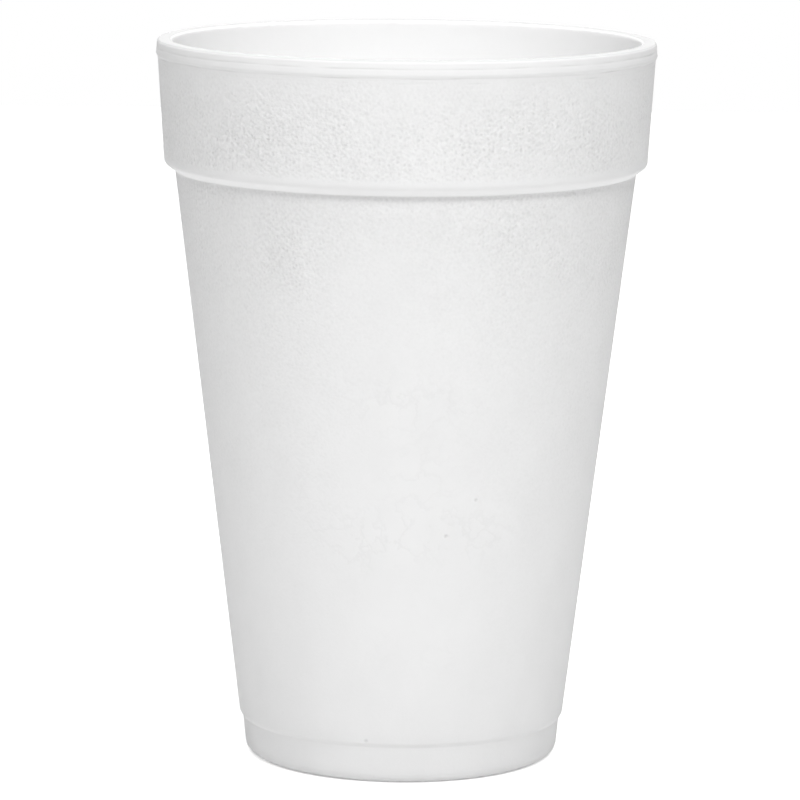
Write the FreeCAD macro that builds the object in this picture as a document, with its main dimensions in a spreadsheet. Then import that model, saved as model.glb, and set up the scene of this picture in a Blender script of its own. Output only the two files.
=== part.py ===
"""A 16-ounce drinking cup moulded in one piece from foam beads, as a parametric FreeCAD document.

The cup stands on its foot ring with the origin at the middle of its base, +Z up, in millimetres.
Every size comes from the sheet "Sizes". One half-section of the cup is turned about Z,
its corners are rounded, and the filling mark is cut in the underside.
"""

import FreeCAD, Part
import os
import Sketcher

# Driving sizes in millimetres, as the rows of the sheet: alias, value, what it is.
SIZES = [
    ("cup_height", 133.3, "foot to top of the rim"),
    ("rim_diameter", 92.0, "widest place, at the lower edge of the rim band"),
    ("base_diameter", 57.9, "across the foot, where its face would meet the table"),
    ("wall_thickness", 2.3, "side wall, measured level"),
    ("bead_height", 1.25, "rounded bead at the very top of the rim"),
    ("bead_inset", 0.12, "how far the bead stands in from the band under it"),
    ("band_depth", 2.5, "top of the rim to the widest place of the band"),
    ("band_flare", 0.1, "how far the band widens on its way down"),
    ("rim_step", 0.32, "how far the collar stands in from the band"),
    ("rim_step_height", 0.9, "height of the slope from the band to the collar"),
    ("collar_height", 22.3, "top of the rim to the lower corner of the collar"),
    ("collar_taper", 1.2, "how far the collar narrows on its way down"),
    ("lip_overhang", 1.98, "how far the collar stands out from the wall under it"),
    ("lip_drop", 1.4, "how far the sloping underside of the collar falls"),
    ("foot_height", 6.95, "height of the foot ring's face"),
    ("foot_taper", 0.7, "how far the foot ring narrows on its way down"),
    ("step_width", 0.6, "how far the wall stands out from the foot ring"),
    ("step_height", 0.75, "height of the slope from the foot ring to the wall"),
    ("foot_ring_width", 4.2, "level width of the foot ring at the table"),
    ("recess_depth", 3.6, "how far the underside lies above the table"),
    ("recess_taper", 0.5, "how far the recess narrows on its way up"),
    ("floor_thickness", 2.8, "floor of the cup"),
    ("mark_diameter", 9.0, "round mark left in the underside where the beads were blown in"),
    ("mark_depth", 0.4, "depth of that mark"),
    ("rim_radius", 0.5, "rounding of the bead's outer edge"),
    ("mouth_radius", 0.7, "rounding of the rim's inner edge"),
    ("band_radius", 0.2, "rounding of the band's lower edge"),
    ("lip_radius", 1.25, "rounding of the collar's lower corner"),
    ("root_radius", 0.4, "hollow corners under the collar and under the step"),
    ("step_radius", 0.9, "rounding where the wall ends above the foot ring"),
    ("foot_radius", 2.2, "rounding of the foot ring's outer edge"),
    ("recess_radius", 0.8, "corners of the recess in the underside"),
    ("floor_radius", 3.0, "hollow corner between the wall and the floor inside"),
]

# Radii and heights that follow from the driving sizes, as expressions on the sheet.
RIM_R = "Sizes.rim_diameter / 2"
BASE_R = "Sizes.base_diameter / 2"
COLLAR_TOP_R = f"({RIM_R} - Sizes.rim_step)"
COLLAR_R = f"({COLLAR_TOP_R} - Sizes.collar_taper)"
WALL_TOP_R = f"({COLLAR_R} - Sizes.lip_overhang)"
WALL_TOP_Z = "(Sizes.cup_height - Sizes.collar_height - Sizes.lip_drop)"
FOOT_R = f"({BASE_R} + Sizes.foot_taper)"
WALL_FOOT_R = f"({FOOT_R} + Sizes.step_width)"
WALL_FOOT_Z = "(Sizes.foot_height + Sizes.step_height)"
WALL_SLOPE = f"(({WALL_TOP_R} - {WALL_FOOT_R}) / ({WALL_TOP_Z} - {WALL_FOOT_Z}))"
BEAD_R = f"({RIM_R} - Sizes.band_flare - Sizes.bead_inset)"
RING_INNER_R = f"({BASE_R} - Sizes.foot_ring_width)"
FLOOR_Z = "(Sizes.recess_depth + Sizes.floor_thickness)"


def inside_radius(height):
    """Expression for the radius of the inside at a height: the wall's line, less its thickness."""
    return f"({WALL_FOOT_R} + {WALL_SLOPE} * ({height} - {WALL_FOOT_Z}) - Sizes.wall_thickness)"


# Corners of the half-section, from the axis out along the underside, up the outside,
# over the rim and down the inside: name, radius, height.
CUP_SECTION = [
    ("underside_middle", "0", "Sizes.recess_depth"),
    ("recess_top", f"({RING_INNER_R} - Sizes.recess_taper)", "Sizes.recess_depth"),
    ("recess_edge", RING_INNER_R, "0"),
    ("foot_edge", BASE_R, "0"),
    ("foot_top", FOOT_R, "Sizes.foot_height"),
    ("wall_foot", WALL_FOOT_R, WALL_FOOT_Z),
    ("wall_top", WALL_TOP_R, WALL_TOP_Z),
    ("collar_corner", COLLAR_R, "(Sizes.cup_height - Sizes.collar_height)"),
    ("collar_top", COLLAR_TOP_R, "(Sizes.cup_height - Sizes.band_depth - Sizes.rim_step_height)"),
    ("band_edge", RIM_R, "(Sizes.cup_height - Sizes.band_depth)"),
    ("band_top", f"({RIM_R} - Sizes.band_flare)", "(Sizes.cup_height - Sizes.bead_height)"),
    ("bead_foot", BEAD_R, "(Sizes.cup_height - Sizes.bead_height)"),
    ("rim_edge", BEAD_R, "Sizes.cup_height"),
    ("mouth_edge", inside_radius("Sizes.cup_height"), "Sizes.cup_height"),
    ("floor_corner", inside_radius(FLOOR_Z), FLOOR_Z),
    ("floor_middle", "0", FLOOR_Z),
]

# The mark in the underside, cut from the recess up into the floor.
MARK_SECTION = [
    ("mark_middle", "0", "Sizes.recess_depth"),
    ("mark_edge", "Sizes.mark_diameter / 2", "Sizes.recess_depth"),
    ("mark_corner", "Sizes.mark_diameter / 2", "(Sizes.recess_depth + Sizes.mark_depth)"),
    ("mark_top", "0", "(Sizes.recess_depth + Sizes.mark_depth)"),
]

# Rounded corners, each group with the alias of its radius.
ROUNDINGS = [
    ("RimEdge", "rim_radius", ["rim_edge"]),
    ("MouthEdge", "mouth_radius", ["mouth_edge"]),
    ("BandEdge", "band_radius", ["band_edge", "collar_top"]),
    ("LipCorner", "lip_radius", ["collar_corner"]),
    ("Roots", "root_radius", ["wall_top", "foot_top"]),
    ("StepEdge", "step_radius", ["wall_foot"]),
    ("FootEdge", "foot_radius", ["foot_edge"]),
    ("RecessCorners", "recess_radius", ["recess_edge", "recess_top"]),
    ("FloorCorner", "floor_radius", ["floor_corner"]),
]

# Where the corners of an outline start, before the sheet places them: a ring of this radius,
# its middle twice as far out and up.
START_RADIUS = 50.0

TOLERANCE = 1e-4


def make_sheet(doc):
    """The sheet of driving sizes, one row for each, with its alias and meaning."""
    sheet = doc.addObject("Spreadsheet::Sheet", "Sizes")
    for row, (alias, value, meaning) in enumerate(SIZES, start=1):
        sheet.set(f"A{row}", alias)
        sheet.set(f"B{row}", str(value))
        sheet.set(f"C{row}", meaning)
        sheet.setAlias(f"B{row}", alias)
    doc.recompute()
    return sheet


def origin_plane(body, role):
    """One of the body's own origin planes, by its role."""
    return next(feature for feature in body.Origin.OriginFeatures if feature.Role == role)


def starting_ring(count):
    """Points evenly round a ring, for an outline of that many corners to start from."""
    middle = FreeCAD.Vector(2 * START_RADIUS, 2 * START_RADIUS, 0)
    arm = FreeCAD.Vector(START_RADIUS, 0, 0)
    turns = [FreeCAD.Rotation(FreeCAD.Vector(0, 0, 1), 360.0 * index / count) for index in range(count)]
    return [middle + turn.multVec(arm) for turn in turns]


def draw_section(body, name, corners):
    """A closed outline on the XZ plane, every corner held at its radius and height."""
    sketch = body.newObject("Sketcher::SketchObject", name)
    sketch.AttachmentSupport = (origin_plane(body, "XZ_Plane"), [""])
    sketch.MapMode = "FlatFace"
    count = len(corners)
    points = starting_ring(count)
    for index in range(count):
        side = Part.LineSegment(points[index], points[(index + 1) % count])
        sketch.addGeometry(side, False)
    for index in range(count):
        meeting = Sketcher.Constraint("Coincident", index, 2, (index + 1) % count, 1)
        sketch.addConstraint(meeting)
    for index, (corner, radius, height) in enumerate(corners):
        hold(sketch, "DistanceX", index, points[index].x, f"{corner}_r", radius)
        hold(sketch, "DistanceY", index, points[index].y, f"{corner}_z", height)
    return sketch


def hold(sketch, kind, line, value, name, expression):
    """Hold the start of a line at a distance from the origin that the sheet drives."""
    if expression == "0":
        axis = {"DistanceX": -2, "DistanceY": -1}[kind]
        sketch.addConstraint(Sketcher.Constraint("PointOnObject", line, 1, axis))
        return
    number = sketch.addConstraint(Sketcher.Constraint(kind, -1, 1, line, 1, value))
    sketch.renameConstraint(number, name)
    sketch.setExpression(f"Constraints.{name}", expression)


def revolve(body, kind, name, sketch):
    """Turn a section the whole way round its own upright axis: a Revolution or a Groove."""
    feature = body.newObject(f"PartDesign::{kind}", name)
    feature.Profile = sketch
    feature.ReferenceAxis = (sketch, ["V_Axis"])
    feature.Angle = 360.0
    return feature


def ring_edge(shape, radius, height):
    """Name of the level circular edge of that radius at that height."""
    for number, edge in enumerate(shape.Edges, start=1):
        if not isinstance(edge.Curve, Part.Circle):
            continue
        level = abs(edge.Curve.Center.z - height) < TOLERANCE
        if level and abs(edge.Curve.Radius - radius) < TOLERANCE:
            return f"Edge{number}"
    raise RuntimeError(f"no edge of radius {radius} at height {height}")


def round_corners(body, section, base, name, alias, corners):
    """Round the named corners of the section with one radius."""
    order = [corner for corner, _, _ in CUP_SECTION]
    places = [section.getPoint(order.index(corner), 1) for corner in corners]
    edges = [ring_edge(base.Shape, place.x, place.y) for place in places]
    fillet = body.newObject("PartDesign::Fillet", name)
    fillet.Base = (base, edges)
    fillet.setExpression("Radius", f"Sizes.{alias}")
    return fillet


def make_cup(doc):
    """The cup as one body: the turned section, its rounded corners and the mark underneath."""
    body = doc.addObject("PartDesign::Body", "Cup")
    body.Label = "cup"
    body.Placement = FreeCAD.Placement()
    section = draw_section(body, "CupSection", CUP_SECTION)
    feature = revolve(body, "Revolution", "CupForm", section)
    doc.recompute()
    for name, alias, corners in ROUNDINGS:
        feature = round_corners(body, section, feature, name, alias, corners)
        doc.recompute()
    before = feature.Shape.Volume
    mark = draw_section(body, "MarkSection", MARK_SECTION)
    feature = revolve(body, "Groove", "Mark", mark)
    doc.recompute()
    if feature.Shape.Volume > before - TOLERANCE:
        raise RuntimeError("the mark cuts nothing from the underside")
    body.Tip = feature
    doc.recompute()
    return body


def check(doc, bodies):
    """Stop at any object that failed to compute and at any part that isn't one sound solid."""
    for item in doc.Objects:
        if "Invalid" in item.State or "Error" in item.State:
            raise RuntimeError(f"{item.Name} failed: {item.State}")
        if item.isDerivedFrom("Sketcher::SketchObject") and not item.FullyConstrained:
            raise RuntimeError(f"{item.Name} isn't fully held")
    for body in bodies:
        if body.Shape.isNull() or not body.Shape.isValid() or len(body.Shape.Solids) != 1:
            raise RuntimeError(f"{body.Label} isn't one valid solid")


def main():
    doc = FreeCAD.newDocument("foam_cup")
    make_sheet(doc)
    bodies = [make_cup(doc)]
    check(doc, bodies)
    os.makedirs("parts", exist_ok=True)
    for body in bodies:
        body.Shape.exportStep(f"parts/{body.Label}.step")
        box = body.Shape.optimalBoundingBox()
        size = f"{box.XLength:.2f} x {box.YLength:.2f} x {box.ZLength:.2f} mm"
        print(f"{body.Label}: {size}, {body.Shape.Volume / 1000:.2f} cm3")


main()
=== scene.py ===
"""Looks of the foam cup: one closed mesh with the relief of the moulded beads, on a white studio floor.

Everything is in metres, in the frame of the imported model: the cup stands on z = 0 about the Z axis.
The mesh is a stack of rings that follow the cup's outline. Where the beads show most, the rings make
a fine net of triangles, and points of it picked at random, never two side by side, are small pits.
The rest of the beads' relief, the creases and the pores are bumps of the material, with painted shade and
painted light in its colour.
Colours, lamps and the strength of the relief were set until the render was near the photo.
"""
import math
import random
from collections import namedtuple

import bpy
from mathutils import Matrix, Vector, noise


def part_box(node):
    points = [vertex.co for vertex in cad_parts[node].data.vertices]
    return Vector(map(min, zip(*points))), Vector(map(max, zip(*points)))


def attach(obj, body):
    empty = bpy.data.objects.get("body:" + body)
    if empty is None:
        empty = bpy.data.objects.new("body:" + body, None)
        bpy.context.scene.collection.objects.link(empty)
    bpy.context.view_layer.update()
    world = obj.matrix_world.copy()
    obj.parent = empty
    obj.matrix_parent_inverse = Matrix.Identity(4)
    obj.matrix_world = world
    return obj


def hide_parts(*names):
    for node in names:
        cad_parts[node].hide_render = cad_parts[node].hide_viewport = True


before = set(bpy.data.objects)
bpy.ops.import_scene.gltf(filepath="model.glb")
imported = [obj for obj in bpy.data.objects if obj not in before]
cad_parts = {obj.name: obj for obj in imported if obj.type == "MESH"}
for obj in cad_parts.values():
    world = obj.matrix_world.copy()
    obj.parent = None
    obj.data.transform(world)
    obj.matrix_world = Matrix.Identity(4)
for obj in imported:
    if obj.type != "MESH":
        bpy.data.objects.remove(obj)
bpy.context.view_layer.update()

MM = 0.001
SEED = 16
# Places in the noise, kept apart so that patches and lines don't repeat each other.
PATCH_SEED = 3
WAVE_SEED = 20
FADE_SEED = 40

# ---------------------------------------------------------------- sizes of the cup

cup_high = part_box("cup")[1]
HEIGHT = cup_high.z
RIM_R = cup_high.x
BASE_R = 28.95 * MM
WALL = 2.3 * MM

BEAD_HEIGHT = 1.25 * MM      # rounded bead at the very top of the rim
BEAD_R = RIM_R - 0.22 * MM
BAND_DEPTH = 2.5 * MM        # top of the rim to the widest place of the band
COLLAR_TOP_R = RIM_R - 0.32 * MM
COLLAR_TOP_Z = HEIGHT - BAND_DEPTH - 0.9 * MM
COLLAR_R = COLLAR_TOP_R - 1.2 * MM
COLLAR_Z = HEIGHT - 22.65 * MM
WALL_TOP_R = COLLAR_R - 1.98 * MM
WALL_TOP_Z = COLLAR_Z - 1.4 * MM
FOOT_R = BASE_R + 0.7 * MM
FOOT_Z = 6.95 * MM
WALL_FOOT_R = FOOT_R + 0.6 * MM
WALL_FOOT_Z = FOOT_Z + 0.75 * MM
WALL_SLOPE = (WALL_TOP_R - WALL_FOOT_R) / (WALL_TOP_Z - WALL_FOOT_Z)
RING_INNER_R = BASE_R - 4.2 * MM
RECESS_R = RING_INNER_R - 0.5 * MM
RECESS_Z = 3.6 * MM
FLOOR_Z = RECESS_Z + 2.8 * MM
MARK_R = 4.5 * MM
MARK_Z = RECESS_Z + 0.4 * MM


def wall_radius(height):
    """Radius of the wall's outside at a height."""
    return WALL_FOOT_R + WALL_SLOPE * (height - WALL_FOOT_Z)


def inside_radius(height):
    """Radius of the wall's inside at a height."""
    return wall_radius(height) - WALL


# ---------------------------------------------------------------- rings of the mesh

# Segments round, and the spacing of rings up the outline.
FINE = 576
MIDDLE = 288
COARSE = 144
BEAD_STEP = 0.43 * MM
LINE_STEP = 0.17 * MM
ARC_TURN = math.radians(22.5)

FINE_WALL_Z = 84 * MM        # the beads are modelled above this height
MOUTH_DEPTH = 2.5 * MM       # the inside is as fine as the rim down to here

# Corners of the outline, from the axis under the cup round to the axis inside it: radius, height,
# rounding, and then what holds as far as the next corner: segments round, spacing of the rings.
Corner = namedtuple("Corner", "r z rounding segments step")
OUTLINE = [
    Corner(0.0, MARK_Z, 0.0, COARSE // 4, 2.3 * MM),
    Corner(MARK_R, MARK_Z, 0.15 * MM, COARSE, 0.3 * MM),
    Corner(MARK_R, RECESS_Z, 0.15 * MM, COARSE, 5.0 * MM),
    Corner(RECESS_R, RECESS_Z, 0.8 * MM, COARSE, 1.5 * MM),
    Corner(RING_INNER_R, 0.0, 0.8 * MM, COARSE, 1.5 * MM),
    Corner(BASE_R, 0.0, 2.2 * MM, MIDDLE, 1.3 * MM),
    Corner(FOOT_R, FOOT_Z, 0.4 * MM, MIDDLE, 0.2 * MM),
    Corner(WALL_FOOT_R, WALL_FOOT_Z, 0.9 * MM, MIDDLE, 2.0 * MM),
    Corner(wall_radius(FINE_WALL_Z), FINE_WALL_Z, 0.0, FINE, BEAD_STEP),
    Corner(WALL_TOP_R, WALL_TOP_Z, 0.4 * MM, MIDDLE, 0.35 * MM),
    Corner(COLLAR_R, COLLAR_Z, 1.25 * MM, FINE, BEAD_STEP),
    Corner(COLLAR_TOP_R - 0.04 * MM, COLLAR_TOP_Z - 0.75 * MM, 0.0, MIDDLE, LINE_STEP),
    Corner(COLLAR_TOP_R, COLLAR_TOP_Z, 0.0, MIDDLE, LINE_STEP),
    Corner(RIM_R, HEIGHT - BAND_DEPTH, 0.0, MIDDLE, LINE_STEP),
    Corner(RIM_R - 0.1 * MM, HEIGHT - BEAD_HEIGHT, 0.0, MIDDLE, LINE_STEP),
    Corner(BEAD_R, HEIGHT, 0.5 * MM, MIDDLE, 0.55 * MM),
    Corner(inside_radius(HEIGHT), HEIGHT, 0.7 * MM, MIDDLE, 0.6 * MM),
    Corner(inside_radius(HEIGHT - MOUTH_DEPTH), HEIGHT - MOUTH_DEPTH, 0.0, COARSE, 5.0 * MM),
    Corner(inside_radius(FLOOR_Z), FLOOR_Z, 3.0 * MM, COARSE, 5.0 * MM),
    Corner(0.0, FLOOR_Z, 0.0, COARSE, 5.0 * MM),
]
RIM_CORNER = 15              # place in the list of the rim's outer edge: the outside ends there

Ring = namedtuple("Ring", "r z segments outside")


def rounded_corner(before, corner, after):
    """Where a corner's rounding starts and ends, and the points of its arc between them."""
    here = Vector((corner.r, corner.z))
    back = (Vector((before.r, before.z)) - here).normalized()
    on = (Vector((after.r, after.z)) - here).normalized()
    if corner.rounding == 0.0:
        return [here]
    half = back.angle(on) / 2
    reach = corner.rounding / math.tan(half)
    middle = here + (back + on).normalized() * (corner.rounding / math.sin(half))
    first, last = here + back * reach - middle, here + on * reach - middle
    turned = first.angle(last)
    count = max(2, math.ceil(turned / ARC_TURN))
    arc = []
    for i in range(count + 1):
        share = i / count
        arm = (first * math.sin((1 - share) * turned) + last * math.sin(share * turned)) / math.sin(turned)
        arc.append(middle + arm)
    return arc


def make_rings():
    """The rings of the mesh along the outline, the first and the last on the axis."""
    arcs = [[Vector((OUTLINE[0].r, OUTLINE[0].z))]]
    for before, corner, after in zip(OUTLINE, OUTLINE[1:], OUTLINE[2:]):
        arcs.append(rounded_corner(before, corner, after))
    arcs.append([Vector((OUTLINE[-1].r, OUTLINE[-1].z))])
    rings = []
    for place, (corner, arc) in enumerate(zip(OUTLINE, arcs)):
        outside = place <= RIM_CORNER
        rings += [Ring(point.x, point.y, corner.segments, outside) for point in arc]
        if place + 1 < len(arcs):
            end = arcs[place + 1][0]
            count = max(1, round((end - arc[-1]).length / corner.step))
            for i in range(1, count):
                point = arc[-1].lerp(end, i / count)
                rings.append(Ring(point.x, point.y, corner.segments, outside))
    rings[0] = rings[0]._replace(segments=1)
    rings[-1] = rings[-1]._replace(segments=1)
    return rings


# ---------------------------------------------------------------- relief of the skin

PIT_DEPTH = 0.22 * MM
PIT_LEAST = 0.4              # the shallowest pit, as a share of the deepest
SKIN_DIP = 0.15              # how far the skin between pits may dip, as a share of their depth
PIT_SPREAD = 0.20            # how far a point of the net strays, as a share of its spacing
EDGE_DEPTH = 0.15 * MM       # the rim's top this far down counts as its edge
PIT_FADE = 8 * MM            # the modelled pits deepen over this height above FINE_WALL_Z
# How strongly the beads show at each height of the outside: height, strength.
BEAD_HEIGHTS = [
    (8 * MM, 0.10),
    (40 * MM, 0.20),
    (62 * MM, 0.40),
    (85 * MM, 0.60),
    (104 * MM, 0.80),
    (109.2 * MM, 0.85),
    (109.3 * MM, 0.0),
    (111.3 * MM, 0.0),
    (112.5 * MM, 0.85),
    (118 * MM, 1.0),
    (124 * MM, 0.9),
    (128.6 * MM, 0.6),
    (130.6 * MM, 0.0),
]
PATCH_SIZE = 11 * MM         # patches where the beads show more or less
PATCH_MEAN = 0.85            # strength of the beads in a patch, before its own share of PATCH_RANGE
PATCH_RANGE = 0.35
AREA_REACH = 6.0             # squared distance, in half sizes, past which an area has no effect
# Areas where the beads show more, or less below 0:
# azimuth, height, half width round, half height, share.
BEAD_AREAS = [
    (0.0, 50 * MM, 14 * MM, 50 * MM, -0.9),
    (-30.0, 100 * MM, 9 * MM, 15 * MM, 0.5),
    (30.0, 102 * MM, 12 * MM, 14 * MM, 0.5),
    (150.0, 60 * MM, 12 * MM, 40 * MM, -0.7),
    (-120.0, 98 * MM, 12 * MM, 15 * MM, 0.5),
    (-30.0, 118 * MM, 13 * MM, 7 * MM, 0.35),
    (27.0, 117 * MM, 15 * MM, 7 * MM, 0.45),
    (165.0, 118 * MM, 15 * MM, 7 * MM, 0.4),
]

LINES_FROM_Z = COLLAR_TOP_Z - 1.5 * MM
# Fine lines round the rim: height, half width, depth, share of the depth that comes and goes.
RIM_LINES = [
    (HEIGHT - 1.45 * MM, 0.24 * MM, 0.08 * MM, 0.9),
    (HEIGHT - 3.10 * MM, 0.22 * MM, 0.08 * MM, 0.6),
    (HEIGHT - 3.95 * MM, 0.22 * MM, 0.06 * MM, 1.2),
]
LINE_WAVE = 0.16 * MM        # how far a line wanders up and down
WAVE_SIZE = 9 * MM           # length of those wanderings round the rim
FADE_SIZE = 5 * MM           # length of the stretches where a line comes and goes
LINE_PAINTED_SHADE = 12.0 / MM         # painted shade: how much darker a rim line is painted for its depth

# Areas of the wall with faint creases in the skin:
# azimuth, height, half width round, half height, strength.
CREASED_AREAS = [
    (2.0, 72 * MM, 12 * MM, 5 * MM, 1.0),
    (5.0, 58 * MM, 6 * MM, 7 * MM, 0.8),
    (6.0, 47 * MM, 13 * MM, 5 * MM, 1.0),
    (-14.0, 45 * MM, 6 * MM, 6 * MM, 0.6),
    (27.0, 48 * MM, 5 * MM, 6 * MM, 0.6),
    (-30.0, 56 * MM, 5 * MM, 12 * MM, 0.5),
    (14.0, 24 * MM, 4 * MM, 3 * MM, 0.5),
    (-8.0, 24 * MM, 5 * MM, 4 * MM, 0.3),
    (110.0, 60 * MM, 14 * MM, 12 * MM, 0.7),
    (200.0, 45 * MM, 12 * MM, 8 * MM, 0.8),
]
# Single deep pores in the wall: azimuth, height.
DEEP_PORES = [
    (21.6, 53.5 * MM),
    (12.9, 47 * MM),
    (-12.0, 8.2 * MM),
]


def interpolate(table, value):
    """Value of a table of (place, value) pairs at a place between its first and last."""
    if value <= table[0][0]:
        return table[0][1]
    for (low, at_low), (high, at_high) in zip(table, table[1:]):
        if value <= high:
            return at_low + (at_high - at_low) * (value - low) / (high - low)
    return table[-1][1]


def round_noise(turn, height, size, seed):
    """Smooth noise from -1 to 1 on the cup's skin, in patches of that size."""
    angle = 2 * math.pi * turn
    place = Vector((RIM_R * math.cos(angle), RIM_R * math.sin(angle), height)) / size
    return noise.noise(place + Vector((seed, 0.0, seed)))


def line_depth(turn, height):
    """Depth of the fine lines round the rim at a place on it."""
    depth = 0.0
    for number, (middle, half_width, full, unsteady) in enumerate(RIM_LINES):
        wander = LINE_WAVE * round_noise(turn, 0.0, WAVE_SIZE, WAVE_SEED + number)
        off = (height - middle - wander) / half_width
        if abs(off) < 1.0:
            comes = 1.0 - unsteady * (0.5 + round_noise(turn, 0.0, FADE_SIZE, FADE_SEED + number))
            depth += full * comes * (1.0 - off * off) ** 2
    return depth


def distance_off(turn, height, radius, azimuth, middle, half_width, half_height):
    """Squared distance of a place on the wall from an area's middle, in its half sizes."""
    round_way = math.remainder(2 * math.pi * turn - math.radians(azimuth - 90), 2 * math.pi) * radius
    return (round_way / half_width) ** 2 + ((height - middle) / half_height) ** 2


def crease_strength(turn, height, radius):
    """How strongly the skin is creased at a place on the wall, from 0 to about 1."""
    strength = 0.0
    for azimuth, middle, half_width, half_height, full in CREASED_AREAS:
        off = distance_off(turn, height, radius, azimuth, middle, half_width, half_height)
        strength += full * math.exp(-off)
    return min(strength, 1.0)


def outward(rings, number):
    """Direction out of the foam at a ring, as its radial and upward shares."""
    before = rings[max(number - 1, 0)]
    after = rings[min(number + 1, len(rings) - 1)]
    along = Vector((after.r - before.r, after.z - before.z)).normalized()
    return Vector((along.y, -along.x))


def bead_strength(turn, height, radius):
    """How strongly the beads show at a place on the outside, from 0 to about 1."""
    strength = interpolate(BEAD_HEIGHTS, height)
    if strength > 0.0:
        strength *= PATCH_MEAN + PATCH_RANGE * round_noise(turn, height, PATCH_SIZE, PATCH_SEED)
        for azimuth, middle, half_width, half_height, share in BEAD_AREAS:
            off = distance_off(turn, height, radius, azimuth, middle, half_width, half_height)
            if off < AREA_REACH and (height > COLLAR_Z) == (middle > COLLAR_Z):
                strength *= 1.0 + share * math.exp(-off)
    return strength


def pick_pits(rings, dice):
    """Points of the net to be pits, as (ring, place), in random order and never two side by side."""
    rows = [number for number, ring in enumerate(rings) if ring.outside and ring.segments == FINE]
    places = [(number, i) for number in rows for i in range(rings[number].segments)]
    dice.shuffle(places)
    picked = set()
    for number, i in places:
        count = rings[number].segments
        lean = number % 2
        around = [(number, (i - 1) % count), (number, (i + 1) % count)]
        for beside in (number - 1, number + 1):
            around += [(beside, (i + lean - 1) % count), (beside, (i + lean) % count)]
        if not any(place in picked for place in around):
            picked.add((number, i))
    return picked


def ring_points(rings, number, picked, dice):
    """Points of one ring with their relief, and at each its pit, its beads and its creases."""
    ring = rings[number]
    if ring.segments == 1:
        return [(0.0, 0.0, ring.z)], [0.0], [0.0], [0.0]
    out = outward(rings, number)
    along = Vector((-out.y, out.x))
    fine = ring.outside and ring.segments == FINE
    points, pits, beads, creases = [], [], [], []
    for i in range(ring.segments):
        turn = (i + 0.5 * (number % 2)) / ring.segments
        stray_round, stray_along, share = dice.uniform(-1, 1), dice.uniform(-1, 1), dice.random()
        r, z, pit, depth = ring.r, ring.z, 0.0, 0.0
        strength = bead_strength(turn, ring.z, ring.r) if ring.outside else 0.0
        if fine:
            turn += PIT_SPREAD * stray_round / ring.segments
            r += along.x * PIT_SPREAD * BEAD_STEP * stray_along
            z += along.y * PIT_SPREAD * BEAD_STEP * stray_along
            modelled = strength * min(1.0, (ring.z - FINE_WALL_Z) / PIT_FADE)
            if (number, i) in picked:
                pit = modelled * (PIT_LEAST + (1.0 - PIT_LEAST) * share)
                depth = PIT_DEPTH * pit
            else:
                depth = SKIN_DIP * PIT_DEPTH * modelled * share
        if ring.outside and ring.z > LINES_FROM_Z:
            line = line_depth(turn, z)
            depth += line
            # The rim lines' painted shade goes into the pit mark, which darkens the colour.
            pit = max(pit, LINE_PAINTED_SHADE * line)
        r -= out.x * depth
        z -= out.y * depth
        angle = 2 * math.pi * turn
        points.append((r * math.cos(angle), r * math.sin(angle), z))
        pits.append(pit)
        beads.append(strength)
        creased = ring.outside and WALL_FOOT_Z < ring.z < WALL_TOP_Z and ring.r > BASE_R
        creases.append(crease_strength(turn, z, r) if creased else 0.0)
    return points, pits, beads, creases


def lace(below, above, shift_below, shift_above):
    """Triangles between two rings of point numbers, each ring shifted by part of a segment."""
    faces = []
    i = j = 0
    while i < len(below) or j < len(above):
        turn_below = (i + 1 + shift_below) / len(below)
        turn_above = (j + 1 + shift_above) / len(above)
        if j == len(above) or (i < len(below) and turn_below <= turn_above):
            faces.append((below[i % len(below)], below[(i + 1) % len(below)], above[j % len(above)]))
            i += 1
        else:
            faces.append((below[i % len(below)], above[(j + 1) % len(above)], above[j % len(above)]))
            j += 1
    return [face for face in faces if len(set(face)) == 3]


def make_cup(material):
    """The cup as one closed mesh, with pits in its fine skin and lines round the rim."""
    dice = random.Random(SEED)
    rings = make_rings()
    picked = pick_pits(rings, dice)
    points, numbers, faces = [], [], []
    pits, beads, creases, inner, edge = [], [], [], [], []
    for number, ring in enumerate(rings):
        made, pitted, beaded, creased = ring_points(rings, number, picked, dice)
        numbers.append(list(range(len(points), len(points) + len(made))))
        points += made
        pits += pitted
        beads += beaded
        creases += creased
        inner += [0.0 if ring.outside else 1.0] * len(made)
        edge += [1.0 if ring.z > HEIGHT - EDGE_DEPTH else 0.0] * len(made)
    for number in range(len(rings) - 1):
        faces += lace(numbers[number], numbers[number + 1], 0.5 * (number % 2), 0.5 * ((number + 1) % 2))
    mesh = bpy.data.meshes.new("foam_cup")
    mesh.from_pydata(points, [], faces)
    marks = {"pit": pits, "beads": beads, "creases": creases, "inner": inner, "edge": edge}
    for name, values in marks.items():
        mesh.attributes.new(name, "FLOAT", "POINT").data.foreach_set("value", values)
    mesh.shade_smooth()
    mesh.materials.append(material)
    cup = bpy.data.objects.new("foam_cup", mesh)
    bpy.context.scene.collection.objects.link(cup)
    print("cup:", len(points), "points,", len(faces), "faces,", len(rings), "rings")
    return cup


# ---------------------------------------------------------------- materials

OUTER_FOAM = (0.90, 0.90, 0.90, 1.0)
INNER_FOAM_PAINTED_LIGHT = (0.985, 0.985, 0.985, 1.0)  # painted light: whiter than the outside, standing in for light that comes through the foam and bounces round inside the cup; set to match the photo's tone, not measured
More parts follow.
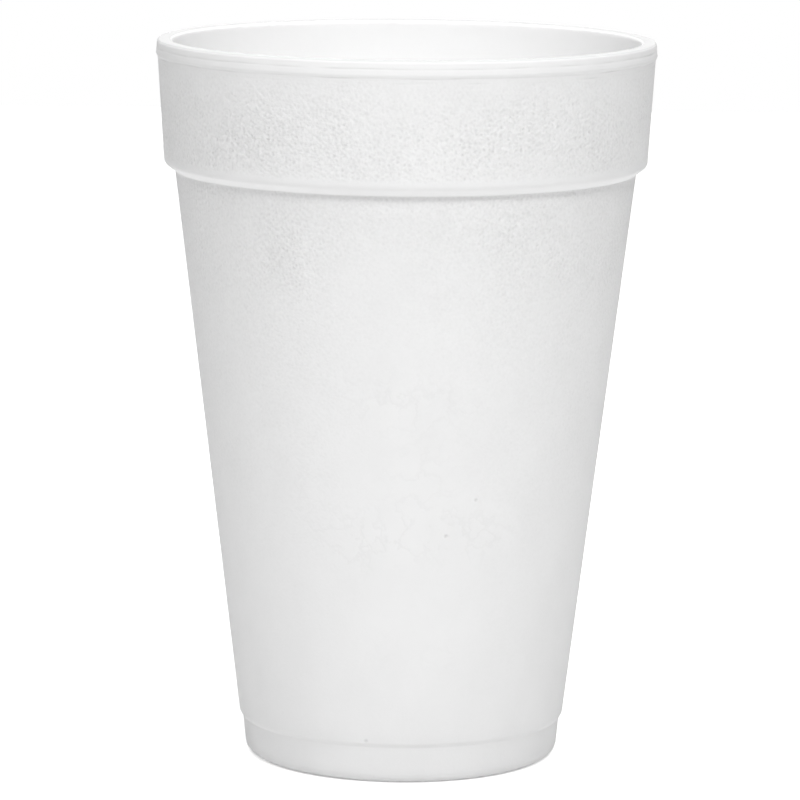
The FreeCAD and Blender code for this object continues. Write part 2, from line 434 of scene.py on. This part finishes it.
# The darker colour that the random mottle and the painted shade of pits, pores, creases and rim lines mix
# towards.
MOTTLE_AND_PAINTED_SHADE_FOAM = (0.78, 0.78, 0.78, 1.0)
RIM_TOP_PAINTED_SHADE = (0.66, 0.66, 0.66, 1.0)  # painted shade on the rim's flat top, so that it isn't clipped by the top lamp
PORE_SPACING = 0.85 * MM
PORE_REACH = 0.60            # radius of a pore, as a share of the spacing
PORE_DEPTH = 0.045 * MM
DEEP_PORE_R = 0.5 * MM
CREASE_SIZE = 4.5 * MM       # size of the loops that the creases wander in
CREASE_DEPTH = 0.03 * MM
NUB_SIZE = 0.50 * MM         # the beads stand out a little between the pores
NUB_HEIGHT = 0.13 * MM
PORE_CORE = 0.08             # the middle of a pore is level out to here, as a share of the spacing
DEEP_PORE_RISE = 3.0         # how much deeper a single pore is than the rest
CREASE_WIDTH = 0.05          # of a crease, as a difference in the noise that it follows
HOLLOW_DEPTH = 0.05 * MM     # bump of a modelled pit, besides its own shape
GRAIN_DEPTH = 0.012 * MM
STREAK_DEPTH = 0.012 * MM
# Fineness of the noises, per metre along each axis.
GRAIN = (2600, 2600, 2600)
STREAKS = (420, 420, 45)
MOTTLE = (130, 130, 90)
WHITE = (1.0, 1.0, 1.0, 1.0)


def new_material(name):
    """A material with its nodes and links, its own shader taken away."""
    material = bpy.data.materials.new(name)
    material.use_nodes = True
    material.node_tree.nodes.clear()
    return material, material.node_tree.nodes, material.node_tree.links


def add_node(nodes, kind, **settings):
    """A node of that kind, with its settings."""
    node = nodes.new(kind)
    for name, value in settings.items():
        setattr(node, name, value)
    return node


def calculate(nodes, links, operation, first, second=None, third=None):
    """A math node on one to three inputs, each a socket or a number."""
    node = add_node(nodes, "ShaderNodeMath", operation=operation)
    for socket, value in zip(node.inputs, (first, second, third)):
        if isinstance(value, bpy.types.NodeSocket):
            links.new(value, socket)
        elif value is not None:
            socket.default_value = value
    return node.outputs[0]


def blend_colours(nodes, links, first, second, share):
    """Socket of a colour between two, each a colour or a socket."""
    mix = add_node(nodes, "ShaderNodeMix", data_type="RGBA")
    factor = next(socket for socket in mix.inputs if socket.enabled and socket.name == "Factor")
    links.new(share, factor)
    for name, value in (("A", first), ("B", second)):
        socket = next(socket for socket in mix.inputs if socket.enabled and socket.name == name)
        if isinstance(value, bpy.types.NodeSocket):
            links.new(value, socket)
        else:
            socket.default_value = value
    return next(socket for socket in mix.outputs if socket.enabled)


def skin_noise(nodes, links, place, scale, detail, roughness=0.5):
    """Noise on the object's own coordinates, with its own scale along each axis."""
    mapping = add_node(nodes, "ShaderNodeMapping")
    mapping.inputs["Scale"].default_value = scale
    links.new(place, mapping.inputs["Vector"])
    texture = add_node(nodes, "ShaderNodeTexNoise", noise_dimensions="3D")
    texture.inputs["Scale"].default_value = 1.0
    texture.inputs["Detail"].default_value = detail
    texture.inputs["Roughness"].default_value = roughness
    links.new(mapping.outputs[0], texture.inputs["Vector"])
    return texture.outputs[0]


def pore_pattern(nodes, links, place, spacing):
    """Small round pores that far apart on average: 1 in the middle of each and 0 between them."""
    cells = add_node(nodes, "ShaderNodeTexVoronoi", feature="F1", distance="EUCLIDEAN")
    cells.inputs["Scale"].default_value = 1.0 / spacing
    cells.inputs["Randomness"].default_value = 0.9
    links.new(place, cells.inputs["Vector"])
    spot = add_node(nodes, "ShaderNodeMapRange", interpolation_type="SMOOTHSTEP")
    links.new(cells.outputs["Distance"], spot.inputs["Value"])
    spot.inputs["From Min"].default_value = PORE_REACH
    spot.inputs["From Max"].default_value = PORE_CORE
    return spot.outputs[0]


def single_pore(nodes, links, place, azimuth, height):
    """One pore at a place on the wall: over 1 in its middle and 0 outside it."""
    angle = math.radians(azimuth - 90)
    radius = wall_radius(height)
    away = add_node(nodes, "ShaderNodeVectorMath", operation="DISTANCE")
    links.new(place, away.inputs[0])
    away.inputs[1].default_value = (radius * math.cos(angle), radius * math.sin(angle), height)
    spot = add_node(nodes, "ShaderNodeMapRange", interpolation_type="SMOOTHSTEP")
    links.new(away.outputs["Value"], spot.inputs["Value"])
    spot.inputs["From Min"].default_value = DEEP_PORE_R
    spot.inputs["From Max"].default_value = 0.0
    spot.inputs["To Max"].default_value = DEEP_PORE_RISE
    return spot.outputs[0]


def crease_pattern(nodes, links, place):
    """Thin wavy lines in the skin: 1 along each line and 0 between them."""
    waves = skin_noise(nodes, links, place, (1 / CREASE_SIZE,) * 3, 3.0, 0.6)
    off = calculate(nodes, links, "ABSOLUTE", calculate(nodes, links, "SUBTRACT", waves, 0.5))
    line = add_node(nodes, "ShaderNodeMapRange", interpolation_type="SMOOTHSTEP")
    links.new(off, line.inputs["Value"])
    line.inputs["From Min"].default_value = CREASE_WIDTH
    line.inputs["From Max"].default_value = 0.0
    return line.outputs[0]


def make_foam():
    """Moulded bead foam: matt, faintly see-through white, with bumps for its relief, random mottle, painted
    shade in pits, pores, creases and rim lines, and painted light on its nubs.
    """
    material, nodes, links = new_material("foam")
    place = add_node(nodes, "ShaderNodeTexCoord").outputs["Object"]
    pit = add_node(nodes, "ShaderNodeAttribute", attribute_name="pit").outputs["Fac"]
    beads = add_node(nodes, "ShaderNodeAttribute", attribute_name="beads").outputs["Fac"]
    pores = calculate(nodes, links, "MULTIPLY", pore_pattern(nodes, links, place, PORE_SPACING), beads)
    nubs = skin_noise(nodes, links, place, (1 / NUB_SIZE,) * 3, 1.0)
    nubs = calculate(nodes, links, "MULTIPLY", calculate(nodes, links, "SUBTRACT", nubs, 0.5), beads)
    hollow = calculate(nodes, links, "POWER", pit, 1.6)

    grain = skin_noise(nodes, links, place, GRAIN, 2.0)
    streaks = skin_noise(nodes, links, place, STREAKS, 1.0)
    mottle = skin_noise(nodes, links, place, MOTTLE, 3.0)

    for azimuth, height in DEEP_PORES:
        pores = calculate(nodes, links, "MAXIMUM", pores, single_pore(nodes, links, place, azimuth, height))

    creased = add_node(nodes, "ShaderNodeAttribute", attribute_name="creases").outputs["Fac"]
    creases = calculate(nodes, links, "MULTIPLY", crease_pattern(nodes, links, place), creased)

    low = calculate(nodes, links, "MULTIPLY", hollow, -HOLLOW_DEPTH)
    low = calculate(nodes, links, "MULTIPLY_ADD", creases, -CREASE_DEPTH, low)
    low = calculate(nodes, links, "MULTIPLY_ADD", pores, -PORE_DEPTH, low)
    low = calculate(nodes, links, "MULTIPLY_ADD", nubs, NUB_HEIGHT, low)
    fine = calculate(nodes, links, "MULTIPLY", grain, GRAIN_DEPTH)
    upright = calculate(nodes, links, "MULTIPLY", streaks, STREAK_DEPTH)
    height = calculate(nodes, links, "ADD", calculate(nodes, links, "ADD", low, fine), upright)
    bump = add_node(nodes, "ShaderNodeBump")
    bump.inputs["Strength"].default_value = 1.0
    bump.inputs["Distance"].default_value = 1.0
    links.new(height, bump.inputs["Height"])

    # Mask of the inside, which is painted whiter as painted light.
    inside_painted_light = add_node(nodes, "ShaderNodeAttribute", attribute_name="inner").outputs["Fac"]
    # Blend towards the darker colour: random mottle is the foam's own tone; pits, rim lines, pores and
    # creases get painted shade, raised nubs painted light and painted shade between them.
    mottle_and_painted_shade = calculate(nodes, links, "MULTIPLY_ADD", mottle, 0.4, -0.1)
    mottle_and_painted_shade = calculate(nodes, links, "MULTIPLY_ADD", hollow, 0.8, mottle_and_painted_shade)
    mottle_and_painted_shade = calculate(nodes, links, "MULTIPLY_ADD", pores, 0.35, mottle_and_painted_shade)
    mottle_and_painted_shade = calculate(nodes, links, "MULTIPLY_ADD", creases, 0.22, mottle_and_painted_shade)
    mottle_and_painted_shade = calculate(nodes, links, "MULTIPLY_ADD", nubs, -1.2, calculate(nodes, links, "ADD", mottle_and_painted_shade, 0.15))
    outer = blend_colours(nodes, links, OUTER_FOAM, MOTTLE_AND_PAINTED_SHADE_FOAM, mottle_and_painted_shade)
    tint = blend_colours(nodes, links, outer, INNER_FOAM_PAINTED_LIGHT, inside_painted_light)
    # The rim's flat top gets painted shade.
    edge = add_node(nodes, "ShaderNodeAttribute", attribute_name="edge").outputs["Fac"]
    tint = blend_colours(nodes, links, tint, RIM_TOP_PAINTED_SHADE, edge)

    rough = calculate(nodes, links, "MULTIPLY_ADD", mottle, 0.12, 0.66)

    shader = add_node(nodes, "ShaderNodeBsdfPrincipled")
    links.new(tint, shader.inputs["Base Color"])
    links.new(rough, shader.inputs["Roughness"])
    links.new(bump.outputs[0], shader.inputs["Normal"])
    shader.inputs["IOR"].default_value = 1.35
    shader.inputs["Specular IOR Level"].default_value = 0.08
    shader.inputs["Subsurface Weight"].default_value = 0.2
    shader.inputs["Subsurface Radius"].default_value = (1.0, 1.0, 1.0)
    shader.inputs["Subsurface Scale"].default_value = 0.6 * MM
    output = add_node(nodes, "ShaderNodeOutputMaterial")
    links.new(shader.outputs[0], output.inputs["Surface"])
    return material


def seen_directly(nodes, links):
    """1 where a ray comes straight from the camera, a mirror or glass, else 0."""
    rays = add_node(nodes, "ShaderNodeLightPath").outputs
    mirrored = calculate(nodes, links, "MAXIMUM", rays["Is Camera Ray"], rays["Is Glossy Ray"])
    return calculate(nodes, links, "MAXIMUM", mirrored, rays["Is Transmission Ray"])


# ---------------------------------------------------------------- floor, world, lamps and camera

# Past here the lamps fail and the floor would read grey: the white world shows instead.
FLOOR_HALF = 1.2
FLOOR_COLOUR = (0.92, 0.92, 0.92, 1.0)
FLOOR_GLOW = 0.60            # what the camera sees on the floor besides its lit colour
AMBIENT = 0.105

# Soft boxes: name, azimuth, elevation, distance, width, height, power in watts. Azimuth 0 is in front
# of the cup and 90 to its right, and each one faces the middle of the cup.
LAMPS = [
    ("key_right", 22.0, 49.0, 1.5, 0.8, 0.2, 8.8),
    ("key_left", -21.0, 48.0, 1.5, 0.9, 0.25, 6.25),
    ("top", 0.0, 90.0, 1.33, 0.9, 0.9, 12.8),
    ("back", 180.0, 13.0, 1.75, 1.2, 0.8, 4.0),
]

# The camera was fitted to the outline of the cup in the photo.
CAMERA_PLACE = Vector((0.0, -0.87103, 0.20765))
CAMERA_LENS = 213.70
SENSOR = 36.0
CAMERA_DOWN = math.radians(9.226)
CAMERA_TURN = math.radians(-0.045)
CAMERA_ROLL = math.radians(0.51)


def make_floor():
    """A pale floor that reads as white round the cup and still takes its shadow."""
    corners = [(x * FLOOR_HALF, y * FLOOR_HALF, 0.0) for x, y in ((-1, -1), (1, -1), (1, 1), (-1, 1))]
    mesh = bpy.data.meshes.new("floor")
    mesh.from_pydata(corners, [], [(0, 1, 2, 3)])
    material, nodes, links = new_material("floor")
    matt = add_node(nodes, "ShaderNodeBsdfDiffuse")
    matt.inputs["Color"].default_value = FLOOR_COLOUR
    glow = add_node(nodes, "ShaderNodeEmission")
    glow.inputs["Color"].default_value = WHITE
    strength = calculate(nodes, links, "MULTIPLY", seen_directly(nodes, links), FLOOR_GLOW)
    links.new(strength, glow.inputs["Strength"])
    both = add_node(nodes, "ShaderNodeAddShader")
    links.new(matt.outputs[0], both.inputs[0])
    links.new(glow.outputs[0], both.inputs[1])
    output = add_node(nodes, "ShaderNodeOutputMaterial")
    links.new(both.outputs[0], output.inputs["Surface"])
    mesh.materials.append(material)
    floor = bpy.data.objects.new("floor", mesh)
    bpy.context.scene.collection.objects.link(floor)
    return floor


def make_world():
    """Plain soft light from all round, and plain white wherever the camera looks past the floor."""
    world = bpy.data.worlds.new("studio")
    world.use_nodes = True
    nodes, links = world.node_tree.nodes, world.node_tree.links
    nodes.clear()
    sky = add_node(nodes, "ShaderNodeBackground")
    sky.inputs["Color"].default_value = WHITE
    seen = seen_directly(nodes, links)
    links.new(calculate(nodes, links, "MULTIPLY_ADD", seen, 1.0 - AMBIENT, AMBIENT), sky.inputs["Strength"])
    output = add_node(nodes, "ShaderNodeOutputWorld")
    links.new(sky.outputs[0], output.inputs["Surface"])
    bpy.context.scene.world = world


def make_lamps():
    """The soft boxes, each turned to the middle of the cup."""
    middle = Vector((0.0, 0.0, HEIGHT / 2))
    for name, azimuth, elevation, distance, width, height, power in LAMPS:
        round_way, up = math.radians(azimuth), math.radians(elevation)
        level = math.cos(up)
        way = Vector((math.sin(round_way) * level, -math.cos(round_way) * level, math.sin(up)))
        lamp = bpy.data.lights.new(name, "AREA")
        lamp.shape = "RECTANGLE"
        lamp.size = width
        lamp.size_y = height
        lamp.energy = power
        holder = bpy.data.objects.new(name, lamp)
        holder.location = middle + way * distance
        holder.rotation_euler = (-way).to_track_quat("-Z", "Y").to_euler()
        bpy.context.scene.collection.objects.link(holder)


def make_camera():
    """The camera, a little above the rim and looking slightly down."""
    ahead = Vector((
        math.sin(CAMERA_TURN) * math.cos(CAMERA_DOWN),
        math.cos(CAMERA_TURN) * math.cos(CAMERA_DOWN),
        -math.sin(CAMERA_DOWN),
    ))
    level = Vector((math.cos(CAMERA_TURN), -math.sin(CAMERA_TURN), 0.0))
    upright = level.cross(ahead)
    right = level * math.cos(CAMERA_ROLL) + upright * math.sin(CAMERA_ROLL)
    up = upright * math.cos(CAMERA_ROLL) - level * math.sin(CAMERA_ROLL)
    lens = bpy.data.cameras.new("camera")
    lens.lens = CAMERA_LENS
    lens.sensor_width = SENSOR
    camera = bpy.data.objects.new("camera", lens)
    turned = Matrix((right, up, -ahead)).transposed().to_4x4()
    camera.matrix_world = Matrix.Translation(CAMERA_PLACE) @ turned
    bpy.context.scene.collection.objects.link(camera)
    bpy.context.scene.camera = camera


# ---------------------------------------------------------------- the scene

bpy.context.scene.view_settings.view_transform = "Standard"
make_camera()
make_world()
make_lamps()
make_floor()

cup = make_cup(make_foam())
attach(cup, "root")
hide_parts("cup")
